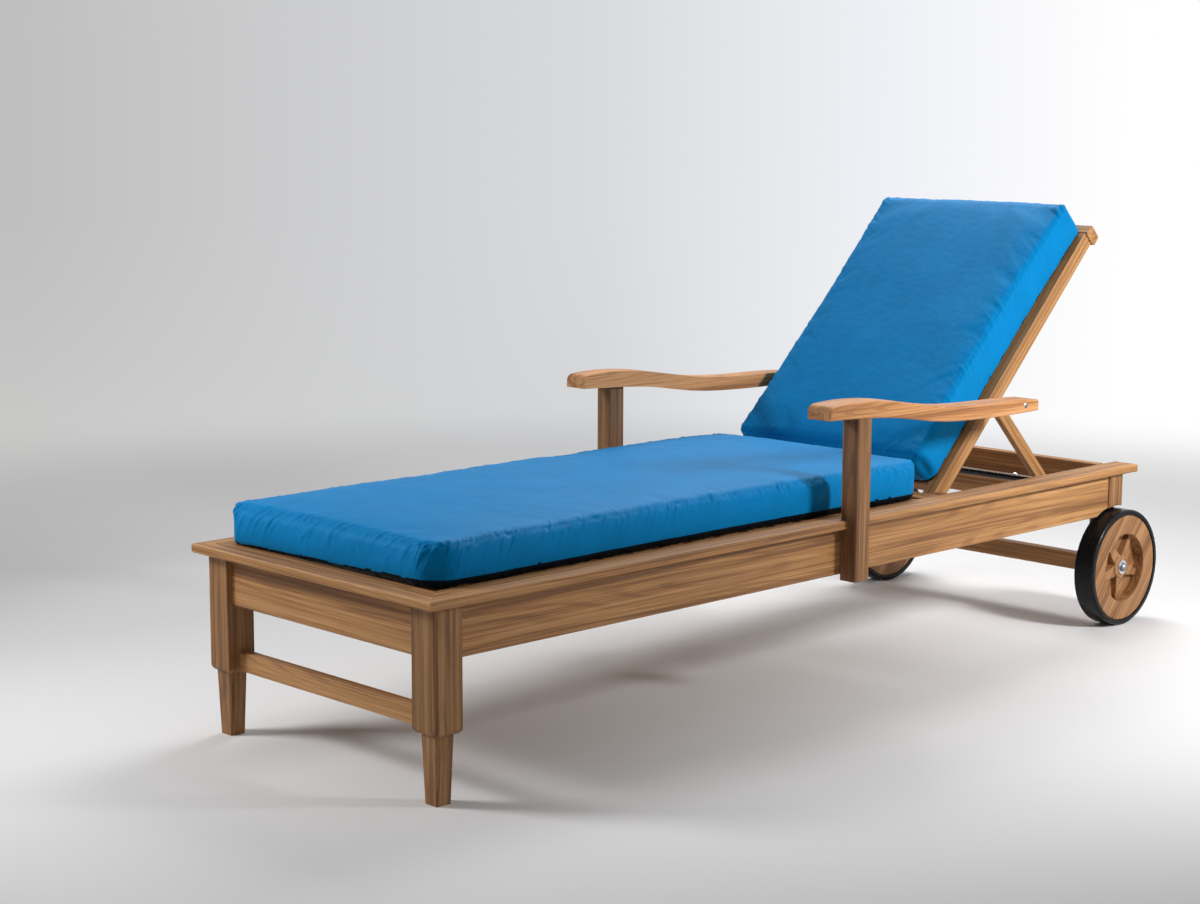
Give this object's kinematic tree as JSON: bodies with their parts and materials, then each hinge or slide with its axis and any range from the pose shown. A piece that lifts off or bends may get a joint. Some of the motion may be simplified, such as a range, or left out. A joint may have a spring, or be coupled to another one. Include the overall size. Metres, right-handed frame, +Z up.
{
  "type": "wooden sun lounger",
  "caption": "Slatted wooden sun lounger with a reclining back on a notched prop, shaped arms, two wheels at the head end and blue seat and back cushions.",
  "frame": {"origin": "centre of the floor below the lounger's bounding box", "axes": "+X towards the head end and the wheels, +Y to the sitter's right, +Z up"},
  "size_m": [2.067, 0.704, 0.91],
  "materials": {
    "teak": "oiled, satin",
    "wheel_teak": "oiled, satin",
    "bright_steel": "polished",
    "black_steel": "satin black",
    "tyre_rubber": "smooth",
    "bush_nylon": "plain",
    "blue_canvas": "woven"
  },
  "bodies": {
    "bed": {"front_leg_left": "teak", "front_leg_right": "teak", "rear_leg_left": "teak", "rear_leg_right": "teak", "side_rail_left": "teak", "side_rail_right": "teak", "foot_rail": "teak", "head_rail": "teak", "foot_stretcher": "teak", "head_stretcher": "teak", "side_cap_left": "teak", "side_cap_right": "teak", "foot_cap": "teak", "slat_bearer_left": "teak", "slat_bearer_right": "teak", "seat_slats": "teak", "seat_cross_rail_front": "teak", "seat_cross_rail_rear": "teak", "notched_rack_left": "teak", "notched_rack_right": "teak", "back_rest_rail": "teak", "pivot_block_left": "teak", "pivot_block_right": "teak", "arm_post_left": "teak", "arm_post_right": "teak", "arm_left": "teak", "arm_right": "teak", "pivot_bolts": "bright_steel", "pivot_washers": "bright_steel", "arm_cross_bolts": "bright_steel", "post_bolts": "bright_steel", "rest_rail_bolts": "bright_steel", "axle": "bright_steel", "axle_washers": "bright_steel", "hub_nuts": "bright_steel", "seat_cushion": "blue_canvas"},
    "backrest": {"back_stile_left": "teak", "back_stile_right": "teak", "back_top_rail": "teak", "back_bottom_rail": "teak", "back_slat_1": "teak", "back_slat_2": "teak", "back_slat_3": "teak", "back_slat_4": "teak", "back_slat_5": "teak", "back_slat_6": "teak", "back_slat_7": "teak", "back_slat_8": "teak", "stay_bolts": "bright_steel", "back_cushion": "blue_canvas"},
    "prop": {"prop_stay_left": "teak", "prop_stay_right": "teak", "prop_rod": "black_steel"},
    "wheel_left": {"wheel_disc_left": "wheel_teak", "tyre_left": "tyre_rubber", "hub_bush_left": "bush_nylon"},
    "wheel_right": {"wheel_disc_right": "wheel_teak", "tyre_right": "tyre_rubber", "hub_bush_right": "bush_nylon"}
  },
  "joints": [
    {"name": "recline", "type": "hinge", "parent": "bed", "child": "backrest", "pos_m": [0.3845, 0, 0.32], "axis": [0, 1, 0], "range_deg": [-15, 40.3]},
    {"name": "prop_swing", "type": "hinge", "parent": "backrest", "child": "prop", "pos_m": [0.56345, 0, 0.49895], "axis": [0, 1, 0], "range_deg": [-81, 30.5]},
    {"name": "wheel_left_spin", "type": "hinge", "parent": "bed", "child": "wheel_left", "pos_m": [0.9075, -0.3183, 0.126], "axis": [0, 1, 0], "continuous": true},
    {"name": "wheel_right_spin", "type": "hinge", "parent": "bed", "child": "wheel_right", "pos_m": [0.9075, 0.3183, 0.126], "axis": [0, 1, 0], "continuous": true}
  ],
  "couplings": [
    {"joint": "prop_swing", "follows": "recline", "ratio": -2}
  ]
}
